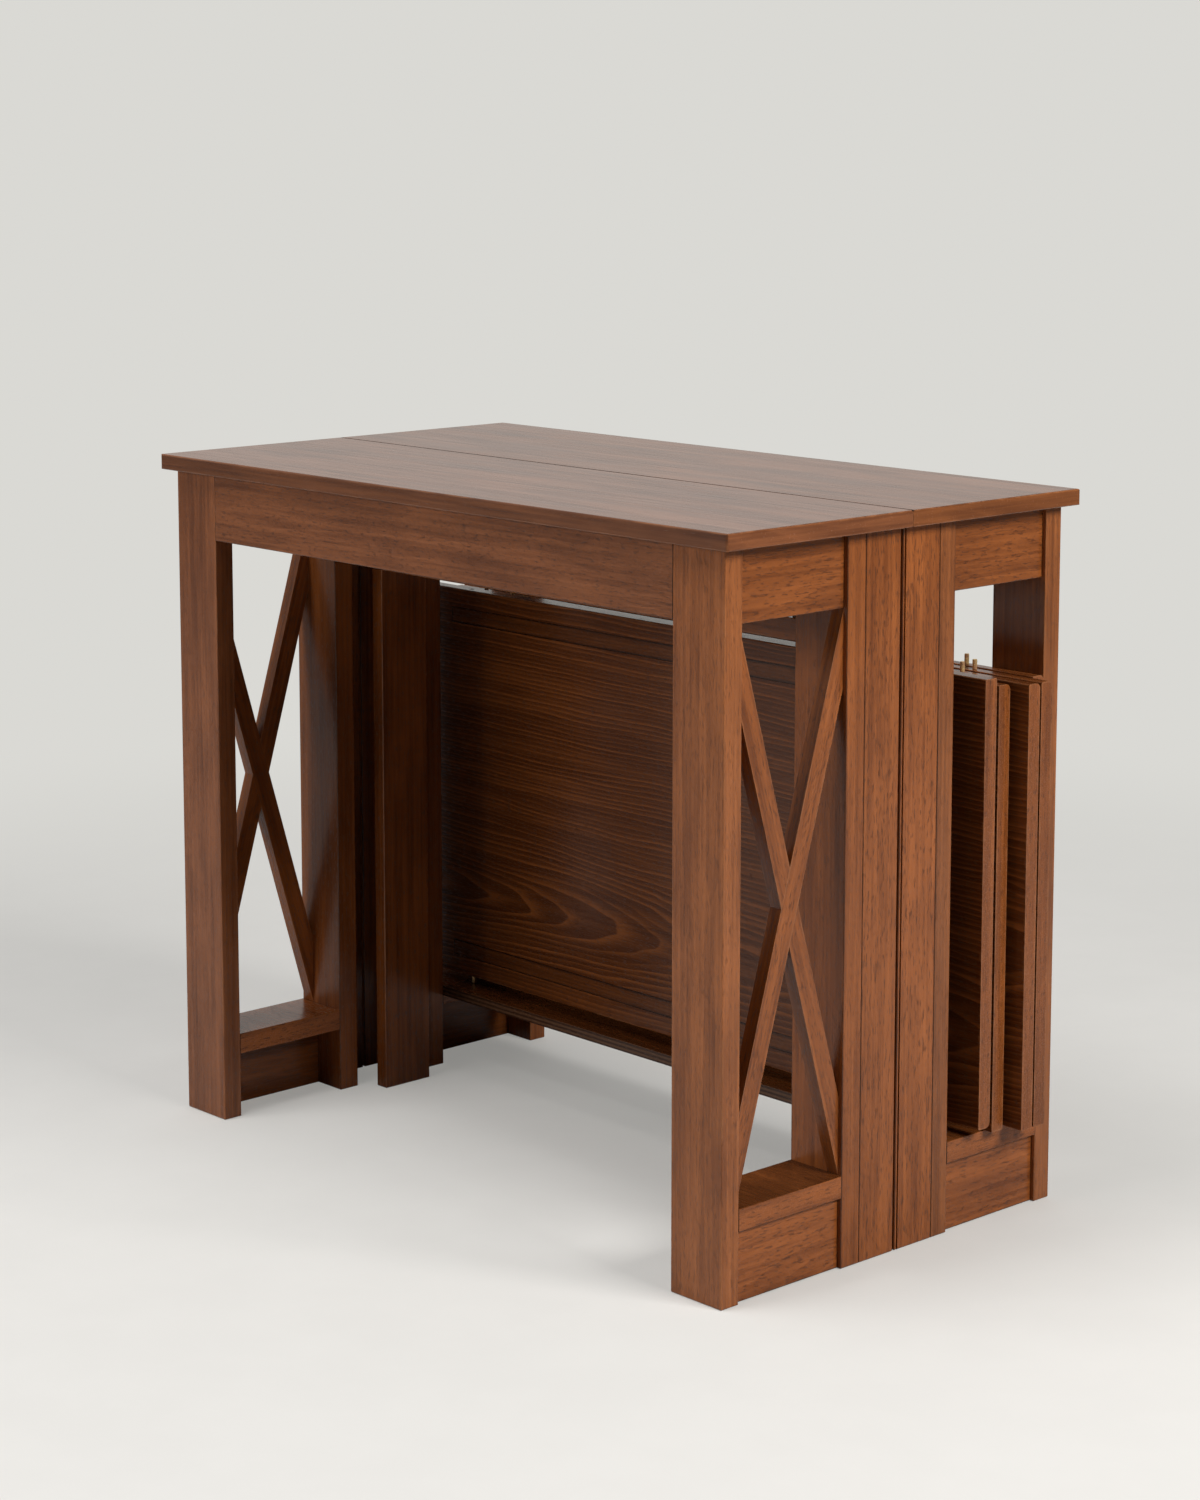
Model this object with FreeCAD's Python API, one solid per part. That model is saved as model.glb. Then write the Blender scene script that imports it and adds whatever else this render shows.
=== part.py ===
import FreeCAD, Part
import math
import os

# Extending console table, closed, in millimetres. X runs along the long side, Y to the back and Z up.
# The origin is on the floor under the middle of the closed table. The front half slides towards -Y on
# telescoping runners, and the spare leaves stand on edge in the rear half.

# The top and the frame under it
top_length = 900.0
top_depth = 510.0
table_height = 755.0
top_thickness = 17.0
seam_gap = 0.6
end_overhang = 15.0
long_overhang = 12.0
board_thickness = 23.5
leg_width = 70.0
apron_height = 74.0
end_recess = 5.0
rail_underside = 73.0
kick_floor_gap = 1.0

# The legs beside the seam, and the narrow boards that close the ends there
front_post_depth = 26.0
end_board_width = 50.0
end_board_thickness = 17.0
rear_setback = 2.5
edge_strip_width = 2.3
edge_groove_width = 2.2
edge_groove_depth = 4.0

# The X in each end of the front half
brace_width = 22.0
brace_thickness = 15.0

# The spare leaves, and the pins that line up the joints of the top
leaf_head_room = 89.5
leaf_thickness = 17.0
batten_width = 19.0
batten_depth = 8.0
batten_edge_inset = 22.0
batten_end_inset = 70.0
batten_clearance = 0.3
pin_radius = 2.5
pin_reach = 10.5
pin_seat_depth = 14.0
pin_end_inset = 97.0
pin_seat_clearance = 0.05
socket_clearance = 0.4
socket_bottom_gap = 1.5
shelf_thickness = 12.0

# How each leaf stands, from the front one to the back one: how far it is pushed to the right, how much of
# the bay's spare room is left behind it, and whether its pins point down
stored_leaves = (
    (4.0, 0.22, True),
    (-3.0, 0.176, False),
    (14.0, 0.046, False),
    (14.0, 0.046, False),
    (-14.0, 0.022, False),
)

# The telescoping runners
runner_stages = 6
runner_thickness = 11.0
runner_height = 44.0
runner_spacing = 4.0
runner_clearance = 0.3
runner_side_clearance = 0.5
runner_top_clearance = 0.5
runner_end_clearance = 1.0
runner_lug_height = 56.5
slot_lip = 2.5
tongue_neck_height = 8.0
tongue_head_height = 20.0
tongue_head_thickness = 3.0

# The legs that stand under the seam
middle_leg_width = 66.0
middle_leg_thickness = 17.0
middle_leg_gap = 14.0

# Rounded edges
board_ease = 1.2
foot_ease = 2.0
top_ease = 2.0
top_back_round = 5.0
top_corner_round = 3.0
leaf_ease = 1.5
leaf_pin_edge_round = 6.0
pin_tip_round = 0.8

# Planes that several pieces share
frame_end = top_length / 2 - end_overhang
frame_face = top_depth / 2 - long_overhang
leg_inner_x = frame_end - leg_width
leg_inner_y = frame_face - board_thickness
top_underside = table_height - top_thickness
top_middle_z = top_underside + top_thickness / 2
apron_underside = top_underside - apron_height
rail_top = rail_underside + board_thickness
recessed_end = frame_end - end_recess
front_seam = -seam_gap / 2
rear_seam = seam_gap / 2
front_post_back = front_seam - end_board_width
front_post_front = front_post_back - front_post_depth
edge_strip_back = rear_setback + edge_strip_width
edge_groove_back = edge_strip_back + edge_groove_width
rear_post_front = edge_groove_back + end_board_width
rear_post_back = rear_post_front + board_thickness
leaf_bay_depth = leg_inner_y - rear_post_back
leaf_width = apron_underside - rail_top - pin_reach - leaf_head_room
pin_x = top_length / 2 - pin_end_inset
pin_seat_radius = pin_radius + pin_seat_clearance
socket_radius = pin_radius + socket_clearance
socket_depth = pin_reach + socket_bottom_gap
runner_top = top_underside - runner_top_clearance
runner_underside = runner_top - runner_height
crossbar_top = runner_underside - runner_lug_height
crossbar_underside = crossbar_top - board_thickness
middle_leg_outer_x = leg_inner_x - middle_leg_gap

X_AXIS = FreeCAD.Vector(1, 0, 0)
Y_AXIS = FreeCAD.Vector(0, 1, 0)
Z_AXIS = FreeCAD.Vector(0, 0, 1)


def block(x_span, y_span, z_span):
    """A plain box between two limits on each axis."""
    corner = FreeCAD.Vector(x_span[0], y_span[0], z_span[0])
    return Part.makeBox(x_span[1] - x_span[0], y_span[1] - y_span[0], z_span[1] - z_span[0], corner)


def rounded_bar(axis, spans, radii):
    """A box whose four edges along one axis are rounded.

    The radii go round the section, from its lowest corner on both other axes along the first of them.
    """
    u, v = [index for index in range(3) if index != axis]
    corners = ((spans[u][0], spans[v][0]), (spans[u][1], spans[v][0]),
               (spans[u][1], spans[v][1]), (spans[u][0], spans[v][1]))
    runs = ((1, 0), (0, 1), (-1, 0), (0, -1))

    def place(across, up):
        values = [spans[axis][0]] * 3
        values[u] = across
        values[v] = up
        return FreeCAD.Vector(*values)

    edges = []
    starts = []
    ends = []
    for index, (across, up) in enumerate(corners):
        radius = radii[index]
        came = runs[index - 1]
        goes = runs[index]
        bulge = radius * (1 - math.sqrt(0.5))
        starts.append(place(across - came[0] * radius, up - came[1] * radius))
        ends.append(place(across + goes[0] * radius, up + goes[1] * radius))
        middle = place(across + (goes[0] - came[0]) * bulge, up + (goes[1] - came[1]) * bulge)
        if radius > 0:
            edges.append(Part.Arc(starts[index], middle, ends[index]).toShape())
    for index in range(4):
        edges.append(Part.LineSegment(ends[index], starts[(index + 1) % 4]).toShape())
    outline = Part.Wire(Part.__sortEdges__(edges))
    direction = (X_AXIS, Y_AXIS, Z_AXIS)[axis]
    return Part.Face(outline).extrude(direction * (spans[axis][1] - spans[axis][0]))


def eased_board(axis, spans):
    """A board with its long edges slightly rounded."""
    return rounded_bar(axis, spans, [board_ease] * 4)


def upright(x_span, y_span, z_top):
    """A board that stands on the floor, with its long edges and the edges of its foot rounded."""
    spans = (x_span, y_span, (0.0, z_top))
    shape = eased_board(2, spans)
    for axis in (0, 1):
        shape = shape.common(rounded_bar(axis, spans, (foot_ease, foot_ease, 0.0, 0.0)))
    return shape


def save(name, solids):
    """Write one node, which holds one solid or a group of like solids."""
    shape = solids[0] if len(solids) == 1 else Part.makeCompound(solids)
    shape.exportStep("parts/%s.step" % name)


def mirrored(shape):
    """The left-hand copy of a piece that is modelled at the right end."""
    return shape.mirror(FreeCAD.Vector(0, 0, 0), X_AXIS)


def save_pair(name, shape):
    """Write a piece of the right end, and its mirror image at the left end."""
    save(name + "_right", [shape])
    save(name + "_left", [mirrored(shape)])


def round_hole(mouth, direction, radius, depth):
    """The cutter for a pin's seat or for a socket, going in from its mouth."""
    return Part.makeCylinder(radius, depth, mouth, direction)


def brass_pin(mouth, direction):
    """A pin that is seated in an edge and stands out of it along a direction, with a rounded tip."""
    length = pin_seat_depth + pin_reach
    shape = Part.makeCylinder(pin_radius, length, mouth - direction * pin_seat_depth, direction)
    tip = mouth + direction * pin_reach
    rim = [edge for edge in shape.Edges if edge.CenterOfMass.distanceToPoint(tip) < pin_tip_round]
    return shape.makeFillet(pin_tip_round, rim)


def top_half(y_span, section_radii, corner_radii):
    """Half of the top: a section along the table, rounded at its short ends and at its outer corners."""
    spans = ((-top_length / 2, top_length / 2), y_span, (top_underside, table_height))
    shape = rounded_bar(0, spans, section_radii)
    shape = shape.common(rounded_bar(1, spans, (board_ease, board_ease, top_ease, top_ease)))
    return shape.common(rounded_bar(2, spans, corner_radii))


def make_tops():
    """The two halves of the top. The front one has pins in its seam edge, and the rear one has sockets."""
    front = top_half((-top_depth / 2, front_seam), (board_ease, 0.0, board_ease, top_ease),
                     (top_corner_round, top_corner_round, 0.0, 0.0))
    rear = top_half((rear_seam, top_depth / 2), (0.0, board_ease, top_back_round, board_ease),
                    (0.0, 0.0, top_corner_round, top_corner_round))
    pins = []
    for x in (-pin_x, pin_x):
        front_mouth = FreeCAD.Vector(x, front_seam, top_middle_z)
        rear_mouth = FreeCAD.Vector(x, rear_seam, top_middle_z)
        front = front.cut(round_hole(front_mouth, -Y_AXIS, pin_seat_radius, pin_seat_depth))
        rear = rear.cut(round_hole(rear_mouth, Y_AXIS, socket_radius, socket_depth))
        pins.append(brass_pin(front_mouth, Y_AXIS))
    save("top_front", [front])
    save("top_rear", [rear])
    save("seam_pins", pins)


def make_legs():
    """The corner legs, the legs beside the seam, and the narrow boards glued to these.

    The rear boards have a thin strip along the gap, set off from the rest by a groove.
    """
    leg_x = (leg_inner_x, frame_end)
    board_x = (frame_end - end_board_thickness, frame_end)
    save_pair("leg_front", upright(leg_x, (-frame_face, -leg_inner_y), top_underside))
    save_pair("leg_back", upright(leg_x, (leg_inner_y, frame_face), top_underside))
    save_pair("post_front", upright(leg_x, (front_post_front, front_post_back), top_underside))
    save_pair("post_rear", upright(leg_x, (rear_post_front, rear_post_back), top_underside))
    save_pair("end_board_front", upright(board_x, (front_post_back, front_seam), top_underside))
    rear_board = upright(board_x, (rear_setback, rear_post_front), top_underside)
    groove_x = (frame_end - edge_groove_depth, frame_end)
    groove = block(groove_x, (edge_strip_back, edge_groove_back), (0.0, top_underside))
    save_pair("end_board_rear", rear_board.cut(groove))


def make_aprons_and_rails():
    """The boards under the top, the bottom rails, the kick boards below and the shelf for the leaves."""
    between_legs = (-leg_inner_x, leg_inner_x)
    apron_z = (apron_underside, top_underside)
    save("apron_front", [eased_board(0, (between_legs, (-frame_face, -leg_inner_y), apron_z))])
    save("apron_back", [eased_board(0, (between_legs, (leg_inner_y, frame_face), apron_z))])
    rail_x = (leg_inner_x, frame_end)
    recessed_x = (recessed_end - board_thickness, recessed_end)
    rear_bay = (rear_post_back, leg_inner_y)
    for half, bay in (("front", (-leg_inner_y, front_post_front)), ("rear", rear_bay)):
        save_pair("end_apron_" + half, eased_board(1, (recessed_x, bay, apron_z)))
        save_pair("rail_" + half, eased_board(1, (rail_x, bay, (rail_underside, rail_top))))
        save_pair("kick_" + half, block(recessed_x, bay, (kick_floor_gap, rail_underside)))
    save("leaf_shelf", [block(between_legs, rear_bay, (rail_top - shelf_thickness, rail_top))])


def brace(corners):
    """A brace with upright ends, from its four corners in the plane of the end frame."""
    points = [FreeCAD.Vector(recessed_end - brace_thickness, y, z) for y, z in corners]
    outline = Part.makePolygon(points + points[:1])
    return Part.Face(outline).extrude(X_AXIS * brace_thickness)


def make_braces():
    """The X in the front bay: two braces from corner to corner, half-lapped where they cross.

    A brace of width w leans from upright by the angle of the bay's diagonal plus asin(w / diagonal), so that
    both its edges end in corners of the bay.
    """
    front = -leg_inner_y
    back = front_post_front
    bay_width = back - front
    bay_height = apron_underside - rail_top
    diagonal = math.hypot(bay_width, bay_height)
    lean = math.atan2(bay_width, bay_height) + math.asin(brace_width / diagonal)
    end_height = brace_width / math.sin(lean)
    low_cut = rail_top + end_height
    high_cut = apron_underside - end_height
    rising = brace(((front, rail_top), (back, high_cut), (back, apron_underside), (front, low_cut)))
    falling = brace(((front, high_cut), (back, rail_top), (back, low_cut), (front, apron_underside)))
    crossing = rising.common(falling)
    lap_x = recessed_end - brace_thickness / 2
    inner_half = block((recessed_end - brace_thickness, lap_x), (front, back), (rail_top, apron_underside))
    save_pair("brace_rising", rising.cut(crossing.common(inner_half)))
    save_pair("brace_falling", falling.cut(crossing.cut(inner_half)))


def leaf_set(x_middle, y_front, z_low):
    """A leaf on edge, pins up and underside to the front, with its battens and its pins."""
    y_middle = y_front + leaf_thickness / 2
    z_high = z_low + leaf_width
    spans = ((x_middle - top_length / 2, x_middle + top_length / 2),
             (y_front, y_front + leaf_thickness), (z_low, z_high))
    board = rounded_bar(0, spans, (leaf_ease, leaf_ease, leaf_pin_edge_round, leaf_ease))
    batten_x = (spans[0][0] + batten_end_inset, spans[0][1] - batten_end_inset)
    battens = []
    for low in (z_low + batten_edge_inset, z_high - batten_edge_inset - batten_width):
        groove_y = (y_front, y_front + batten_depth)
        board = board.cut(block(batten_x, groove_y, (low, low + batten_width)))
        fit_x = (batten_x[0] + batten_clearance, batten_x[1] - batten_clearance)
        fit_z = (low + batten_clearance, low + batten_width - batten_clearance)
        battens.append(block(fit_x, groove_y, fit_z))
    pins = []
    for x in (x_middle - pin_x, x_middle + pin_x):
        pin_mouth = FreeCAD.Vector(x, y_middle, z_high)
        socket_mouth = FreeCAD.Vector(x, y_middle, z_low)
        board = board.cut(round_hole(pin_mouth, -Z_AXIS, pin_seat_radius, pin_seat_depth))
        board = board.cut(round_hole(socket_mouth, Z_AXIS, socket_radius, socket_depth))
        pins.append(brass_pin(pin_mouth, Z_AXIS))
    return [board], battens, pins


def make_leaves():
    """The spare leaves, from the back one to the front one. A leaf whose pins point down stands on them."""
    spare_room = leaf_bay_depth - len(stored_leaves) * leaf_thickness
    y_back = leg_inner_y
    for index in reversed(range(len(stored_leaves))):
        shift, room_behind, pins_down = stored_leaves[index]
        y_front = y_back - room_behind * spare_room - leaf_thickness
        z_low = rail_top + (pin_reach if pins_down else 0.0)
        centre = FreeCAD.Vector(shift, y_front, z_low + leaf_width / 2)
        groups = leaf_set(shift, y_front, z_low)
        for suffix, solids in zip(("", "_battens", "_pins"), groups):
            if pins_down:
                solids = [solid.rotated(centre, Y_AXIS, 180) for solid in solids]
            save("leaf_%d%s" % (index + 1, suffix), solids)
        y_back = y_front


def runner_bar(index, y_span):
    """One member at the right: a bar with a T slot in its outer side and a T tongue on its inner side."""
    outer_x = leg_inner_x - runner_side_clearance - index * (runner_thickness + runner_spacing)
    inner_x = outer_x - runner_thickness
    middle_z = runner_underside + runner_height / 2

    def strip(x_span, height):
        return block(x_span, y_span, (middle_z - height / 2, middle_z + height / 2))

    shape = strip((inner_x, outer_x), runner_height)
    if index > 0:
        pocket_depth = slot_lip + tongue_head_thickness + 2 * runner_clearance
        shape = shape.cut(strip((outer_x - slot_lip, outer_x), tongue_neck_height + 2 * runner_clearance))
        shape = shape.cut(strip((outer_x - pocket_depth, outer_x - slot_lip),
                                tongue_head_height + 2 * runner_clearance))
    if index < runner_stages:
        head_outer_x = inner_x - runner_spacing - slot_lip - runner_clearance
        shape = shape.fuse(strip((head_outer_x, inner_x), tongue_neck_height))
        shape = shape.fuse(strip((head_outer_x - tongue_head_thickness, head_outer_x), tongue_head_height))
    if index == runner_stages // 2:
        lug_y = (-middle_leg_width / 2, middle_leg_width / 2)
        shape = shape.fuse(block((inner_x, outer_x), lug_y, (crossbar_top, runner_underside)))
    return shape.removeSplitter()


def make_runners():
    """The runner members at both ends, from the one on the rear half to the one on the front half."""
    for index in range(runner_stages + 1):
        name = "runner_%d" % index
        front_gap = runner_end_clearance
        back_gap = runner_end_clearance
        if index == 0:
            name = "runner_rear"
            back_gap = 0.0
        if index == runner_stages:
            name = "runner_front"
            front_gap = 0.0
        bar = runner_bar(index, (-leg_inner_y + front_gap, leg_inner_y - back_gap))
        save(name, [bar, mirrored(bar)])


def make_middle_legs():
    """The legs under the seam, and the flat bar across their tops that hangs from the middle runner."""
    y_span = (-middle_leg_width / 2, middle_leg_width / 2)
    leg_x = (middle_leg_outer_x - middle_leg_thickness, middle_leg_outer_x)
    save_pair("middle_leg", upright(leg_x, y_span, crossbar_underside))
    bar_x = (-middle_leg_outer_x, middle_leg_outer_x)
    save("middle_crossbar", [eased_board(0, (bar_x, y_span, (crossbar_underside, crossbar_top)))])


os.makedirs("parts", exist_ok=True)
make_tops()
make_legs()
make_aprons_and_rails()
make_braces()
make_leaves()
make_runners()
make_middle_legs()
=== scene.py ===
import math

import bpy
import numpy as np
from mathutils import Matrix, Vector


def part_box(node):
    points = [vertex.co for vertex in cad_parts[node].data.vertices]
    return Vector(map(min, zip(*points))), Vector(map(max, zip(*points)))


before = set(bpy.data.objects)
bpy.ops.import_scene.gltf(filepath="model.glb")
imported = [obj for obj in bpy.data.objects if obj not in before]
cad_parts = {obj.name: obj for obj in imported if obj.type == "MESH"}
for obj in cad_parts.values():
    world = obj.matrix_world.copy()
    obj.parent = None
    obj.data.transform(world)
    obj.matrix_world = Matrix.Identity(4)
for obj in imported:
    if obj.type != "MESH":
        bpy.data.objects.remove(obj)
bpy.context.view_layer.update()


# Corner legs and the legs beside the seam: flat beech boards on end, planed, stained a reddish walnut brown and
# lacquered satin. They are screwed to the aprons from inside, so nothing shows but the board.

def put(tree, kind, inputs=(), **settings):
    """Adds a node; each input is a socket's name or number and a value or another node's output."""
    node = tree.nodes.new(kind)
    for key, value in settings.items():
        setattr(node, key, value)
    for socket, value in inputs:
        if isinstance(value, bpy.types.NodeSocket):
            tree.links.new(value, node.inputs[socket])
        else:
            node.inputs[socket].default_value = value
    return node


def calc(tree, operation, *values):
    """One Math node on numbers or outputs."""
    return put(tree, "ShaderNodeMath", enumerate(values), operation=operation).outputs[0]


def calc_vector(tree, operation, *values):
    """One Vector Math node on vectors or outputs, which gives a vector."""
    return put(tree, "ShaderNodeVectorMath", enumerate(values), operation=operation).outputs["Vector"]


def measure(tree, operation, *values):
    """One Vector Math node on vectors or outputs, which gives a number."""
    return put(tree, "ShaderNodeVectorMath", enumerate(values), operation=operation).outputs["Value"]


def split(tree, vector):
    """The x, y and z of a vector."""
    return put(tree, "ShaderNodeSeparateXYZ", [(0, vector)]).outputs


def join(tree, *parts):
    """A vector from its x, y and z."""
    return put(tree, "ShaderNodeCombineXYZ", enumerate(parts)).outputs[0]


def fade(tree, value, start, end, low=0.0, high=1.0):
    """A smooth step from low to high while the value goes from start to end."""
    inputs = (("Value", value), ("From Min", start), ("From Max", end), ("To Min", low), ("To Max", high))
    return put(tree, "ShaderNodeMapRange", inputs, interpolation_type="SMOOTHSTEP").outputs[0]


def noise(tree, vector, stretch, detail=2.0, roughness=0.5):
    """Noise on coordinates that are multiplied by stretch, in repeats per metre along each axis."""
    inputs = (("Vector", calc_vector(tree, "MULTIPLY", vector, stretch)), ("Scale", 1.0), ("Detail", detail),
              ("Roughness", roughness))
    return put(tree, "ShaderNodeTexNoise", inputs).outputs


def blend(tree, factor, first, second):
    """Mixes two colours, which are inputs 6 and 7 and output 2 of the Mix node."""
    inputs = ((0, factor), (6, first), (7, second))
    return put(tree, "ShaderNodeMix", inputs, data_type="RGBA").outputs[2]


def feed(tree, node, values):
    """Links outputs to a node's inputs, which are given by name."""
    for socket, value in values.items():
        tree.links.new(value, node.inputs[socket])


def new_material(name):
    """A new material; gives it, its node tree and its Principled shader."""
    material = bpy.data.materials.new(name)
    material.use_nodes = True
    return material, material.node_tree, material.node_tree.nodes["Principled BSDF"]


def cover(node, material):
    """Puts a material on every face of a CAD node."""
    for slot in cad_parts[node].material_slots:
        slot.material = material


def shader_group(name, inputs, outputs):
    """A new node group; gives its tree, its inputs' sockets by name, and the node that takes its outputs."""
    tree = bpy.data.node_groups.new(name, "ShaderNodeTree")
    for direction, sockets in (("INPUT", inputs), ("OUTPUT", outputs)):
        for socket, kind in sockets.items():
            tree.interface.new_socket(name=socket, in_out=direction, socket_type="NodeSocket" + kind)
    given = tree.nodes.new("NodeGroupInput")
    return tree, {socket: given.outputs[socket] for socket in inputs}, tree.nodes.new("NodeGroupOutput")


def make_beech_grain():
    """Flat-sawn beech under stain, in coordinates with x along the grain, y through the board and z across it.

    A year ring is one step of the distance to the heart of the log, count = distance / ring width, where the
    heart runs along x at a depth that leans with x, and slow noise bends it. Each ring starts with a thin pale
    line and darkens as 1 - (1 - season) ^ 2.6. The colour goes from Light to Dark with that, with fine fibres,
    with wider streaks and with cloudy uptake of the stain. Fleck sets how strong the short dark flecks along the
    grain are.
    """
    early_power, mean_early = 2.6, 0.27
    mean_depth, fibre_depth, streak_depth = 0.47, 1.2, 0.7
    fleck_share, fleck_colour = 0.58, (0.045, 0.014, 0.006, 1.0)
    mean_gloss, fibre_gloss, fleck_gloss = 0.18, 0.14, 0.10
    fibre_height, fleck_height = 0.8, -0.9
    tree, given, outlet = shader_group(
        "beech_grain",
        {"Board": "Vector", "Cut": "Vector", "Heart": "Vector", "Ring Width": "Float", "Figure": "Float",
         "Cloud": "Float", "Fleck": "Float", "Light": "Color", "Dark": "Color"},
        {"Color": "Color", "Roughness": "Float", "Height": "Float"})
    at = calc_vector(tree, "ADD", given["Board"], given["Cut"])
    slow = noise(tree, at, (2.6, 11, 11), detail=3.0)["Color"]
    sway = calc_vector(tree, "SUBTRACT", slow, (0.5, 0.5, 0.5))
    sway = calc_vector(tree, "MULTIPLY", sway, (0.0, 0.028, 0.028))
    bent = split(tree, calc_vector(tree, "ADD", given["Board"], sway))
    heart = split(tree, given["Heart"])
    lean = calc(tree, "MULTIPLY", heart[0], bent[0])
    through = calc(tree, "SUBTRACT", calc(tree, "SUBTRACT", bent[1], heart[1]), lean)
    across = calc(tree, "SUBTRACT", bent[2], heart[2])
    distance = calc(tree, "SQRT", calc(tree, "ADD", calc(tree, "MULTIPLY", through, through),
                                       calc(tree, "MULTIPLY", across, across)))
    count = calc(tree, "DIVIDE", distance, given["Ring Width"])
    season = calc(tree, "FRACT", count)
    year = put(tree, "ShaderNodeTexWhiteNoise", [("W", calc(tree, "FLOOR", count))], noise_dimensions="1D")
    early = calc(tree, "POWER", calc(tree, "SUBTRACT", 1.0, season), early_power)
    early = calc(tree, "MULTIPLY", early, fade(tree, season, 0.0, 0.10))
    early = calc(tree, "MULTIPLY", early, fade(tree, year.outputs["Value"], 0.0, 1.0, low=0.35))
    fibre = noise(tree, at, (6, 300, 300), detail=4.0, roughness=0.62)["Fac"]
    streak = noise(tree, at, (2.2, 85, 85))["Fac"]
    cloud = noise(tree, at, (7, 26, 26), detail=3.0, roughness=0.6)["Fac"]
    fleck = fade(tree, noise(tree, at, (110, 650, 650), detail=1.0)["Fac"], 0.56, 0.68)
    fleck = calc(tree, "MULTIPLY", fleck, given["Fleck"])
    depth = mean_depth
    for pattern, strength in ((fibre, fibre_depth), (streak, streak_depth), (cloud, given["Cloud"])):
        depth = calc(tree, "MULTIPLY_ADD", calc(tree, "SUBTRACT", pattern, 0.5), strength, depth)
    depth = calc(tree, "MULTIPLY_ADD", calc(tree, "SUBTRACT", mean_early, early), given["Figure"], depth)
    colour = blend(tree, fade(tree, depth, -0.1, 1.1), given["Light"], given["Dark"])
    colour = blend(tree, calc(tree, "MULTIPLY", fleck, fleck_share), colour, fleck_colour)
    gloss = calc(tree, "MULTIPLY_ADD", fibre, fibre_gloss, mean_gloss)
    gloss = calc(tree, "MULTIPLY_ADD", fleck, fleck_gloss, gloss)
    height = calc(tree, "MULTIPLY_ADD", fleck, fleck_height, calc(tree, "MULTIPLY", fibre, fibre_height))
    feed(tree, outlet, {"Color": colour, "Roughness": gloss, "Height": height})
    return tree


def make_arris_marks():
    """A mask along the arrises of a board of a given half size.

    The distances to the board's faces along its three axes are sorted; the middle one is the distance to the
    nearest edge along a face, and the mask fades out over width * (1 + uneven * noise).
    """
    tree, given, outlet = shader_group(
        "arris_marks",
        {"Board": "Vector", "Cut": "Vector", "Half Size": "Vector", "Width": "Float", "Uneven": "Float"},
        {"Mask": "Float"})
    gap = calc_vector(tree, "SUBTRACT", given["Half Size"], calc_vector(tree, "ABSOLUTE", given["Board"]))
    near = split(tree, gap)
    least, most, total = [calc(tree, operation, near[0], calc(tree, operation, near[1], near[2]))
                          for operation in ("MINIMUM", "MAXIMUM", "ADD")]
    edge = calc(tree, "SUBTRACT", calc(tree, "SUBTRACT", total, least), most)
    at = calc_vector(tree, "ADD", given["Board"], given["Cut"])
    patch = noise(tree, at, (14, 70, 70), detail=4.0, roughness=0.6)["Fac"]
    drift = calc(tree, "MULTIPLY_ADD", given["Uneven"], fade(tree, patch, 0.36, 0.72, low=-0.8, high=0.8), 1.0)
    reach = calc(tree, "MULTIPLY", given["Width"], drift)
    feed(tree, outlet, {"Mask": fade(tree, edge, 0.0, reach, low=1.0, high=0.0)})
    return tree


beech_grain = make_beech_grain()
arris_marks = make_arris_marks()
WALNUT_LIGHT = Vector((0.375, 0.114, 0.028))
WALNUT_DARK = Vector((0.125, 0.033, 0.0076))
# Pale arrises on free edges: partly wear, partly a painted highlight along the edges.
RUBBED_AND_HIGHLIGHT = (0.40, 0.165, 0.068, 1.0)
# Dark lines along joints: stain that gathers there, and painted shade of the groove between the boards.
JOINT_STAIN_AND_SHADE = (0.016, 0.005, 0.002, 1.0)
STEP_IN_LOG = (1.37, 0.73, 2.11)
PORE_DEPTH = 0.0004


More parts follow.
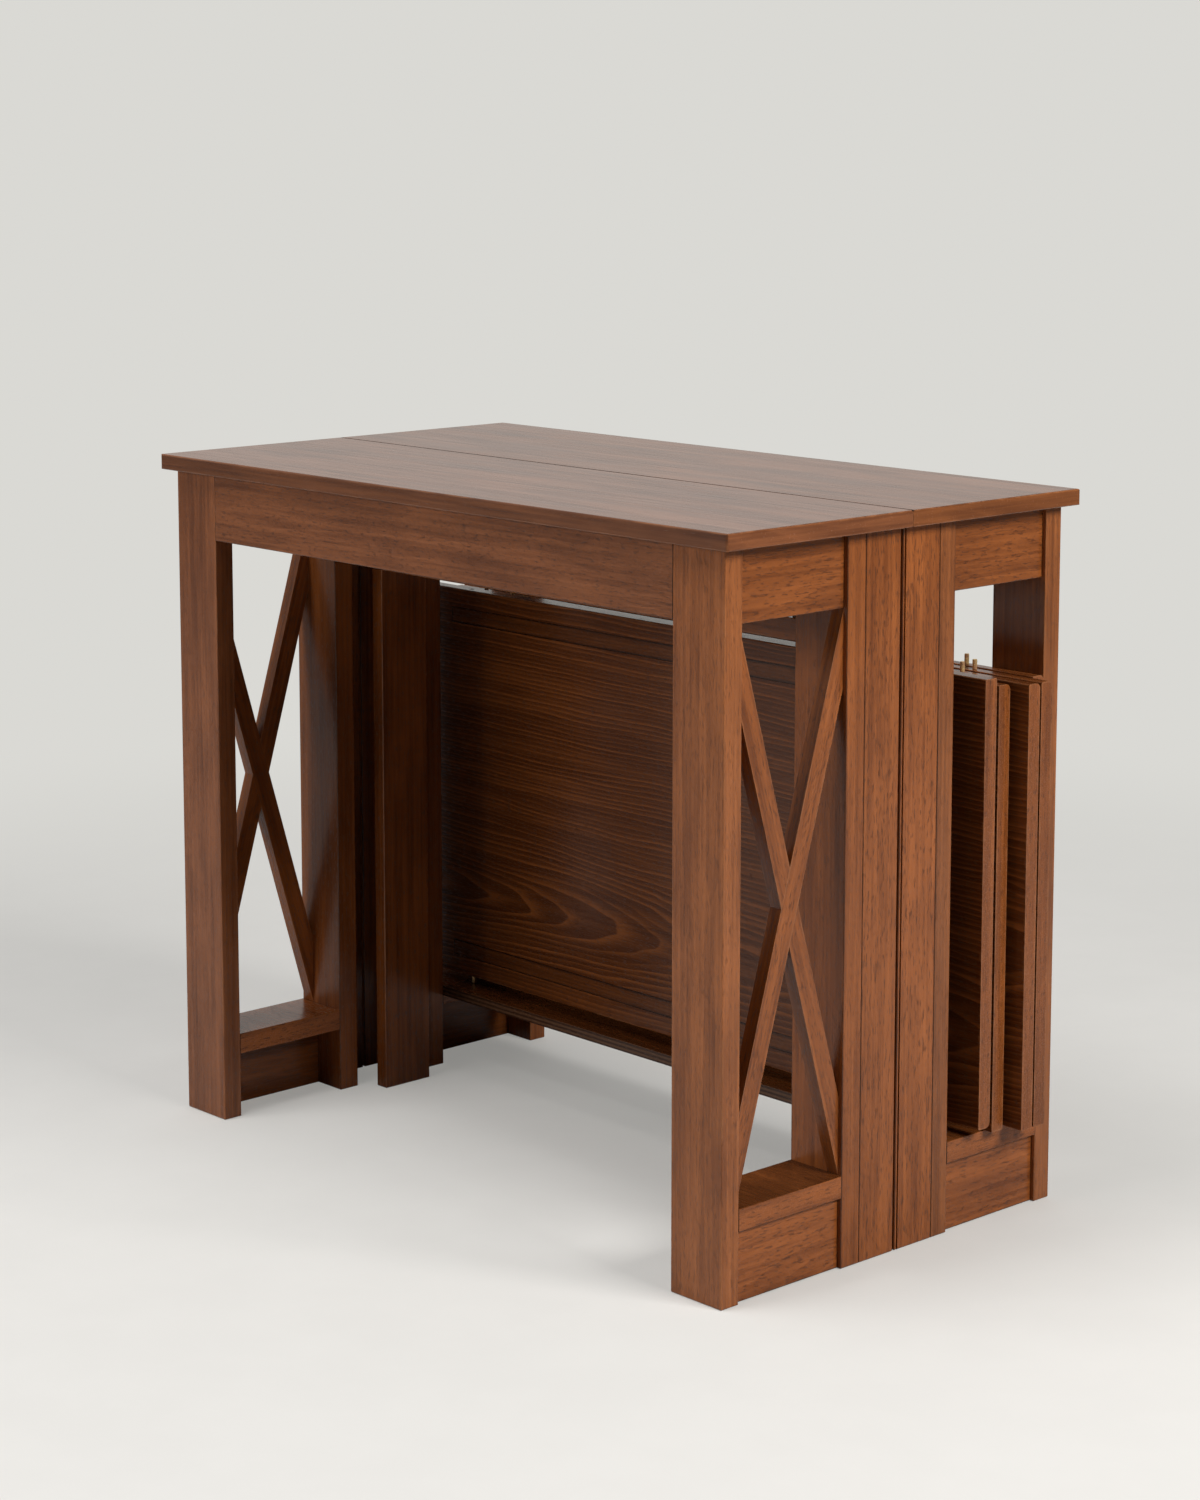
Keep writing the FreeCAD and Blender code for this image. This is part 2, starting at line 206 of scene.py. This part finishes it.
def stained_beech(node, grain, face, heart, ring=0.0042, figure=0.16, cloud=1.0, tone=1.0, half=None, twin=0.0,
                  arris_width=0.0016, joint=False, end_tone=None, fleck=1.0, relief=0.09, shine=0.28,
                  tint=(1.0, 1.0, 1.0)):
    """Gives a CAD board its own cut of stained beech, with the grain along one vector and its broad face on another.

    A Mapping node puts the board's middle at zero and its grain on x. The place in the log, Cut, moves on with each
    board, so no two share a figure, and tint shifts its hue. A joint gathers a dark line along the arrises, which is
    stain and painted shade of the groove. A free edge is rubbed pale there, which is wear and a painted highlight.
    With an end tone, the faces across x have that tone and a grain of their own along the end, as a lipping strip
    has. Twin strips lie on both sides of the middle at that distance, and half is then the half size of one.
    """
    edge_colour, edge_share, uneven = (JOINT_STAIN_AND_SHADE, 0.92, 0.3) if joint else (RUBBED_AND_HIGHLIGHT, 0.42, 1.0)
    material, tree, shader = new_material("stained_beech_" + node)
    low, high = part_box(node)
    along, through = Vector(grain).normalized(), Vector(face).normalized()
    turn = Matrix((along, through, along.cross(through))).transposed()
    reach = Vector(half) if half else Vector([abs(size) for size in turn.transposed() @ ((high - low) / 2)])
    place = len(bpy.data.materials)
    cut = tuple(step * place for step in STEP_IN_LOG)
    object_space = put(tree, "ShaderNodeTexCoord").outputs["Object"]
    inputs = (("Vector", object_space), ("Location", (low + high) / 2), ("Rotation", turn.to_euler()))
    board = put(tree, "ShaderNodeMapping", inputs, vector_type="TEXTURE").outputs[0]
    if twin:
        parts = split(tree, board)
        beside = calc(tree, "SUBTRACT", calc(tree, "ABSOLUTE", parts[2]), twin)
        board = join(tree, parts[0], parts[1], beside)

    def cut_grain(coordinates, shift, heart_line, depth, rings):
        stain = Vector(tint) * depth
        inputs = (("Board", coordinates), ("Cut", shift), ("Heart", heart_line), ("Ring Width", ring),
                  ("Figure", rings), ("Cloud", cloud), ("Fleck", fleck),
                  ("Light", (*(WALNUT_LIGHT * stain), 1.0)), ("Dark", (*(WALNUT_DARK * stain), 1.0)))
        return put(tree, "ShaderNodeGroup", inputs, node_tree=beech_grain).outputs

    wood = cut_grain(board, cut, heart, tone, figure)
    colour = wood["Color"]
    if end_tone:
        parts = split(tree, board)
        turned = join(tree, parts[2], parts[0], parts[1])
        end_heart, end_figure = (0.05, 0.6 * reach[0], -0.03), 0.2
        strip = cut_grain(turned, (cut[1], cut[2], cut[0]), end_heart, end_tone, end_figure)
        normal = split(tree, put(tree, "ShaderNodeNewGeometry").outputs["Normal"])
        at_end = calc(tree, "GREATER_THAN", calc(tree, "ABSOLUTE", normal[0]), 0.8)
        colour = blend(tree, at_end, colour, strip["Color"])
    inputs = (("Board", board), ("Cut", cut), ("Half Size", reach), ("Width", arris_width), ("Uneven", uneven))
    mask = put(tree, "ShaderNodeGroup", inputs, node_tree=arris_marks).outputs["Mask"]
    colour = blend(tree, calc(tree, "MULTIPLY", mask, edge_share), colour, edge_colour)
    bump = put(tree, "ShaderNodeBump",
               (("Height", wood["Height"]), ("Strength", relief), ("Distance", PORE_DEPTH)))
    shader.inputs["Specular IOR Level"].default_value = shine
    feed(tree, shader, {"Base Color": colour, "Roughness": wood["Roughness"], "Normal": bump.outputs[0]})
    cover(node, material)


UP, ALONG, BACK = (0, 0, 1), (1, 0, 0), (0, 1, 0)
RED, BROWN, UMBER = (1.0, 1.0, 1.0), (0.97, 1.06, 1.3), (0.93, 1.06, 1.6)
# Tones: the front right leg is painted lighter for the light that falls on it, and the left posts darker as painted
# shade; the other tones differ at random.
LEGS = {
    "leg_front_left": ((0.012, 0.052, 0.016), 0.95, UMBER),
    "leg_front_right": ((-0.020, 0.044, -0.024), 1.12, BROWN),
    "leg_back_left": ((0.016, -0.055, 0.020), 0.95, RED),
    "leg_back_right": ((-0.010, -0.060, 0.012), 1.0, BROWN),
    "post_front_left": ((0.015, 0.060, 0.030), 0.84, RED),
    "post_front_right": ((0.008, 0.070, 0.030), 0.97, RED),
    "post_rear_left": ((-0.012, 0.050, -0.020), 0.78, RED),
    "post_rear_right": ((0.014, -0.064, 0.022), 0.92, BROWN),
}
for leg, (heart, tone, tint) in LEGS.items():
    stained_beech(leg, UP, BACK, heart, tone=tone, joint=leg.startswith("post"), fleck=0.65, tint=tint)


# Narrow boards beside the seam: planed beech strips on end, stained and lacquered with the posts. Each is glued to
# the edge of a post, and the joint holds a dark line of stain and painted shade.
END_BOARDS = {
    "end_board_front_left": ((0.006, 0.058, 0.014), 0.96),
    "end_board_front_right": ((0.007, -0.075, 0.030), 1.02),
    "end_board_rear_left": ((-0.007, 0.062, -0.012), 0.95),
    "end_board_rear_right": ((-0.005, -0.080, -0.018), 1.06),
}
for board, (heart, tone) in END_BOARDS.items():
    stained_beech(board, UP, ALONG, heart, ring=0.0036, figure=0.15, tone=tone, joint=True)


# Aprons: boards on edge under the top, of the same stained beech with the grain along them. They stand between the
# legs, and the joints hold a dark line of stain and painted shade.
APRONS = {
    "apron_front": (ALONG, BACK, (0.03, 0.065, 0.028), 0.90, UMBER),
    "apron_back": (ALONG, BACK, (-0.02, -0.060, 0.02), 0.95, BROWN),
    "end_apron_front_left": (BACK, ALONG, (0.06, 0.05, 0.02), 0.96, RED),
    "end_apron_front_right": (BACK, ALONG, (0.10, -0.06, 0.045), 0.88, RED),
    "end_apron_rear_left": (BACK, ALONG, (-0.05, 0.05, -0.02), 0.95, RED),
    "end_apron_rear_right": (BACK, ALONG, (-0.12, -0.075, 0.06), 0.88, RED),
}
for apron, (grain, face, heart, tone, tint) in APRONS.items():
    stained_beech(apron, grain, face, heart, figure=0.24, tone=tone, arris_width=0.0012, joint=True, tint=tint)


# Bottom rails and the kick boards under them: the rails are short wide boards laid flat, darker on top than on the
# paler outer end, and the tops of the right-hand rails are painted much darker as the shade that falls on them. The
# kick boards stand below them on edge, set back from the legs and just off the floor.
RAILS = {
    "rail_front_left": (0.80, 0.02),
    "rail_front_right": (0.46, -0.03),
    "rail_rear_left": (0.80, 0.03),
    "rail_rear_right": (0.56, 0.05),
}
for rail, (tone, heart_side) in RAILS.items():
    stained_beech(rail, ALONG, UP, (0.02, -0.05, heart_side), cloud=1.4, tone=tone, arris_width=0.0009, joint=True,
                  end_tone=0.98)
# The left kick boards are painted darker than the right ones as shade.
KICKS = {
    "kick_front_left": ((0.08, 0.06, 0.03), 0.66),
    "kick_front_right": ((0.11, -0.055, 0.05), 1.02),
    "kick_rear_left": ((-0.06, 0.05, -0.02), 0.72),
    "kick_rear_right": ((0.03, -0.09, -0.03), 1.04),
}
for kick, (heart, tone) in KICKS.items():
    stained_beech(kick, BACK, ALONG, heart, figure=0.28, tone=tone, arris_width=0.0012, joint=True)


# The X in each end of the front half: two slim beech bars with upright ends, half-lapped where they cross and glued
# into the corners of the bay. The grain runs along each bar.
BRACE_LEAN = math.radians(16.32)
BRACE_HALF = (0.30, 0.0075, 0.011)
for side, tone in (("left", 0.96), ("right", 0.99)):
    for way, sign in (("rising", 1), ("falling", -1)):
        bar = (0, sign * math.sin(BRACE_LEAN), math.cos(BRACE_LEAN))
        stained_beech("brace_%s_%s" % (way, side), bar, ALONG, (0.01, 0.05 * sign, 0.02), ring=0.0034,
                      figure=0.14, half=BRACE_HALF, tone=tone)


# Leaf shelf: a strip of birch plywood let in between the two rear rails, stained with the table, and its faces
# painted dark as the shade of the leaves that stand on it. Its sawn edge shows the plies as thin pale and dark lines.
DARK_PLY, PALE_PLY = (0.040, 0.015, 0.007, 1.0), (0.120, 0.058, 0.030, 1.0)


def plywood(node, ply=0.0024):
    """Stained faces, painted dark as shade under the leaves, and on upright faces plies of one thickness, light and
    dark by turns: sin(pi z / ply) > 0.
    """
    stained_beech(node, ALONG, UP, (0.03, -0.06, 0.03), figure=0.4, tone=0.50)
    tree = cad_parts[node].material_slots[0].material.node_tree
    shader = tree.nodes["Principled BSDF"]
    face_colour = shader.inputs["Base Color"].links[0].from_socket
    level = split(tree, put(tree, "ShaderNodeTexCoord").outputs["Object"])[2]
    wave = calc(tree, "SINE", calc(tree, "MULTIPLY", level, math.pi / ply))
    plies = blend(tree, fade(tree, wave, -0.25, 0.25), DARK_PLY, PALE_PLY)
    normal = split(tree, put(tree, "ShaderNodeNewGeometry").outputs["Normal"])
    on_edge = calc(tree, "LESS_THAN", calc(tree, "ABSOLUTE", normal[2]), 0.5)
    feed(tree, shader, {"Base Color": blend(tree, on_edge, face_colour, plies)})


plywood("leaf_shelf")


# Telescoping runners: extruded aluminium bars, each with a T tongue that runs in the T slot of the next one. They are
# clear anodised, and the die leaves fine lines along them.
def metal(name, nodes, metallic, colour, roughness, lines, strength):
    """One metal for several CAD nodes.

    The colour is a patch noise's stretch, the start and end of its fade, and a clean and a dull colour. Fine lines
    raise the surface a little, and its roughness is roughness[0] + roughness[1] * lines.
    """
    line_depth = 0.0001
    material, tree, shader = new_material(name)
    object_space = put(tree, "ShaderNodeTexCoord").outputs["Object"]
    fine = noise(tree, object_space, *lines)["Fac"]
    stretch, start, end, clean, dull = colour
    patches = noise(tree, object_space, stretch, detail=3.0)["Fac"]
    shader.inputs["Metallic"].default_value = metallic
    bump = put(tree, "ShaderNodeBump", (("Height", fine), ("Strength", strength), ("Distance", line_depth)))
    feed(tree, shader, {"Base Color": blend(tree, fade(tree, patches, start, end), clean, dull),
                        "Roughness": calc(tree, "MULTIPLY_ADD", fine, roughness[1], roughness[0]),
                        "Normal": bump.outputs[0]})
    for node in nodes:
        cover(node, material)


ANODISED = ((60, 9, 60), 0.35, 0.75, (0.62, 0.62, 0.63, 1.0), (0.46, 0.46, 0.47, 1.0))
metal("anodised_aluminium", [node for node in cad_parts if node.startswith("runner_")], metallic=1.0,
      colour=ANODISED, roughness=(0.30, 0.16), lines=((1400, 3, 1400), 3.0, 0.6), strength=0.05)


# Middle legs and their crossbar: thin beech boards that stand under the seam and carry the runners when the table is
# open. The crossbar is screwed up into the lugs of the middle runner.
# The left middle leg is painted darker than the right one as shade.
stained_beech("middle_leg_left", UP, ALONG, (0.010, 0.055, 0.012), tone=0.82)
stained_beech("middle_leg_right", UP, ALONG, (-0.012, -0.060, -0.010), tone=0.93)
stained_beech("middle_crossbar", ALONG, UP, (0.02, -0.05, 0.015), tone=0.92)


# The top: two veneered boards with solid beech strips round them, which meet at the seam and are lined up there by
# turned brass pins in the front half and sockets in the rear one. The leaves have the same pins.
def darken_seam(node, width=0.0021):
    """Dark stain and painted shade on the upper and lower arris beside the seam, where the distance to y = 0 is under
    the width.
    """
    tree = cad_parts[node].material_slots[0].material.node_tree
    shader = tree.nodes["Principled BSDF"]
    surface = put(tree, "ShaderNodeTexCoord").outputs
    across = calc(tree, "ABSOLUTE", split(tree, surface["Object"])[1])
    upright = calc(tree, "ABSOLUTE", split(tree, surface["Normal"])[2])
    beside = fade(tree, across, 0.7 * width, width, low=0.92, high=0.0)
    mask = calc(tree, "MULTIPLY", beside, fade(tree, upright, 0.2, 0.5))
    colour, gloss = [shader.inputs[socket].links[0].from_socket for socket in ("Base Color", "Roughness")]
    feed(tree, shader, {"Base Color": blend(tree, mask, colour, JOINT_STAIN_AND_SHADE),
                        "Roughness": calc(tree, "MAXIMUM", gloss, calc(tree, "MULTIPLY", mask, 0.75))})


TOPS = {
    "top_front": ((0.035, -0.070, 0.05), 0.0060, 0.84, UMBER),
    "top_rear": ((-0.030, -0.085, -0.04), 0.0056, 0.80, BROWN),
}
for top, (heart, ring, end_tone, tint) in TOPS.items():
    stained_beech(top, ALONG, UP, heart, ring=ring, figure=0.18, tone=0.58, end_tone=end_tone, fleck=0.15,
                  relief=0.004, shine=0.36, tint=tint)
    darken_seam(top)
BRASS = ((160, 160, 160), 0.38, 0.68, (0.92, 0.67, 0.31, 1.0), (0.72, 0.43, 0.23, 1.0))
metal("turned_brass", [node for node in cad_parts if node.endswith("pins")], metallic=0.55, colour=BRASS,
      roughness=(0.16, 0.22), lines=((300, 2600, 2600),), strength=0.15)


# Spare leaves: veneered boards as thick as the top, lipped at their ends, that stand on edge on the shelf. Two
# battens are let into the underside of each, flush with it.
LEAVES = {
    # Leaf 1, the one at the front, is painted darker than the others as the shade it stands in under the top.
    1: ((0.055, 0.046, -0.130), 0.58, 1.4),
    2: ((-0.04, 0.05, 0.06), 0.95, 1.2),
    3: ((0.05, 0.06, -0.05), 0.95, 1.2),
    4: ((-0.05, 0.05, 0.04), 0.95, 1.2),
    5: ((0.04, 0.05, 0.03), 0.95, 1.2),
}
BATTEN_HALF = (0.3797, 0.004, 0.0092)
BATTEN_FROM_MIDDLE = 0.20225
for number, (heart, tone, figure) in LEAVES.items():
    stained_beech("leaf_%d" % number, ALONG, BACK, heart, ring=0.0050, figure=figure, cloud=0.5, tone=tone,
                  arris_width=0.0024, end_tone=0.88)
    stained_beech("leaf_%d_battens" % number, ALONG, BACK, (0.02, 0.08, 0.30), figure=0.3, cloud=0.5,
                  tone=0.80 * tone, half=BATTEN_HALF, twin=BATTEN_FROM_MIDDLE, arris_width=0.0036, joint=True)


# Floor: a wide matt sheet of pale paper that lies under the table and keeps its shadow. Away from the table it
# passes into the colour of the backdrop. Bounced light meets a greyer paper, so that less returns to the table.
BACKDROP = (0.700, 0.693, 0.660, 1.0)
BOUNCED_PAPER = (0.36, 0.352, 0.34, 1.0)
PALE_PAPER, PALER_PAPER = (0.785, 0.777, 0.757, 1.0), (0.805, 0.797, 0.777, 1.0)


def floor_disc(radius=40.0, rings=24, spokes=96):
    """A flat disc: rings at radius * (i / rings) ^ 2, and spokes at even angles."""
    span = radius * (np.arange(1, rings + 1) / rings) ** 2
    angle = np.arange(spokes) * 2 * np.pi / spokes
    points = np.stack([np.outer(span, np.cos(angle)), np.outer(span, np.sin(angle)), np.zeros((rings, spokes))], -1)
    points = np.concatenate([points.reshape(-1, 3), np.zeros((1, 3))])
    first = np.arange((rings - 1) * spokes).reshape(rings - 1, spokes)
    after = np.roll(first, -1, 1)
    quads = np.stack([first, first + spokes, after + spokes, after], -1)
    inner = np.arange(spokes)
    fan = np.stack([np.full(spokes, rings * spokes), inner, np.roll(inner, -1)], -1)
    mesh = bpy.data.meshes.new("floor")
    mesh.from_pydata(points.tolist(), [], quads.reshape(-1, 4).tolist() + fan.tolist())
    return mesh


def shown_rays(tree):
    """Light Path's outputs, and a mask of the rays that show a thing: from the camera, mirrored or through glass."""
    ray = put(tree, "ShaderNodeLightPath").outputs
    passed_on = calc(tree, "MAXIMUM", ray["Is Glossy Ray"], ray["Is Transmission Ray"])
    return ray, calc(tree, "MAXIMUM", ray["Is Camera Ray"], passed_on)


floor = bpy.data.objects.new("floor", floor_disc())
bpy.context.scene.collection.objects.link(floor)
paper, tree, sheet = new_material("pale_paper")
spot = put(tree, "ShaderNodeTexCoord").outputs["Object"]
mottle = noise(tree, spot, (9, 9, 9), detail=4.0, roughness=0.6)["Fac"]
ray, seen = shown_rays(tree)
pale = blend(tree, fade(tree, mottle, 0.3, 0.7), PALE_PAPER, PALER_PAPER)
feed(tree, sheet, {"Base Color": blend(tree, seen, BOUNCED_PAPER, pale)})
sheet.inputs["Roughness"].default_value = 0.75
sheet.inputs["Specular IOR Level"].default_value = 0.25
away = put(tree, "ShaderNodeEmission", (("Color", BACKDROP), ("Strength", 1.0)))
pulled_out = put(tree, "ShaderNodeClamp", (("Value", split(tree, spot)[1]), ("Min", -2.4), ("Max", 0.0))).outputs[0]
distance = measure(tree, "LENGTH", calc_vector(tree, "SUBTRACT", spot, join(tree, 0.0, pulled_out, 0.0)))
far = calc(tree, "MULTIPLY", fade(tree, distance, 0.8, 2.4, low=0.35), ray["Is Camera Ray"])
mixed = put(tree, "ShaderNodeMixShader", ((0, far), (1, sheet.outputs[0]), (2, away.outputs[0])))
feed(tree, tree.nodes["Material Output"], {"Surface": mixed.outputs[0]})
floor.data.materials.append(paper)


# Light: a pale studio with a soft lamp at the right of the table, a wide one low in front of it, a weak one overhead,
# and the room's own light, which is strongest behind the table on the left. The lacquer also mirrors a pale wall on
# the left in front.
BEHIND_LEFT, FRONT_LEFT = (-0.74, 0.67, 0.0), (-0.66, -0.66, 0.35)
ROOM_WHITE = (0.98, 0.99, 1.0, 1.0)
world = bpy.data.worlds.new("studio")
bpy.context.scene.world = world
world.use_nodes = True
tree = world.node_tree
tree.nodes.clear()
ray, seen = shown_rays(tree)
direction = put(tree, "ShaderNodeTexCoord").outputs["Generated"]
level = fade(tree, measure(tree, "DOT_PRODUCT", direction, BEHIND_LEFT), 0.1, 0.9)
wall = fade(tree, measure(tree, "DOT_PRODUCT", direction, FRONT_LEFT), 0.72, 0.97, high=0.75)
glow = calc(tree, "MAXIMUM", level, wall)
room, backdrop, dim = [
    put(tree, "ShaderNodeBackground", (("Color", colour), ("Strength", strength))).outputs[0]
    for colour, strength in ((ROOM_WHITE, calc(tree, "MULTIPLY_ADD", level, 0.60, 0.01)), (BACKDROP, 1.0),
                             (BACKDROP, 0.16))]
mirrored = put(tree, "ShaderNodeMixShader", ((0, glow), (1, dim), (2, backdrop))).outputs[0]
shown = put(tree, "ShaderNodeMixShader", ((0, ray["Is Camera Ray"]), (1, mirrored), (2, backdrop))).outputs[0]
sky = put(tree, "ShaderNodeMixShader", ((0, seen), (1, room), (2, shown))).outputs[0]
put(tree, "ShaderNodeOutputWorld", [("Surface", sky)])


def soft_lamp(name, place, aim, width, height, power, colour, mirrored=True):
    """A rectangular lamp that faces a point; one that isn't mirrored leaves no glare on the lacquer."""
    lamp = bpy.data.lights.new(name, "AREA")
    lamp.shape = "RECTANGLE"
    lamp.size, lamp.size_y = width, height
    lamp.energy = power
    lamp.color = colour
    holder = bpy.data.objects.new(name, lamp)
    holder.location = place
    holder.rotation_euler = (Vector(aim) - Vector(place)).to_track_quat("-Z", "Y").to_euler()
    holder.visible_camera = False
    holder.visible_glossy = mirrored
    bpy.context.scene.collection.objects.link(holder)


soft_lamp("right_softbox", place=(3.45, 0.45, 2.7), aim=(0.0, 0.0, 0.4), width=1.8, height=1.3, power=152.0,
          colour=(1.0, 0.98, 0.95), mirrored=False)
soft_lamp("front_softbox", place=(-2.0, -5.6, 2.1), aim=(0.0, 0.0, 0.4), width=2.8, height=1.6, power=128.0,
          colour=(1.0, 0.99, 0.98), mirrored=False)
soft_lamp("overhead_softbox", place=(-0.2, -1.3, 3.5), aim=(0.2, -0.8, 0.0), width=1.6, height=1.6, power=64.0,
          colour=(1.0, 0.99, 0.98))


# Camera: at the photograph's place, level with a standing person's chest, tilted a little down. A small shift, by 200
# of the photograph's 1500 rows, brings the table to its height in the frame.
TILT_DOWN, HEADING = 8.086, 47.375
lens = bpy.data.cameras.new("camera")
lens.lens = 79.34
lens.sensor_width = 36.0
lens.shift_y = -200 / 1500
camera = bpy.data.objects.new("camera", lens)
camera.location = (2.58991, -2.38401, 1.16880)
camera.rotation_euler = (math.radians(90 - TILT_DOWN), 0.0, math.radians(HEADING))
bpy.context.scene.collection.objects.link(camera)
bpy.context.scene.camera = camera
bpy.context.scene.view_settings.view_transform = "Standard"
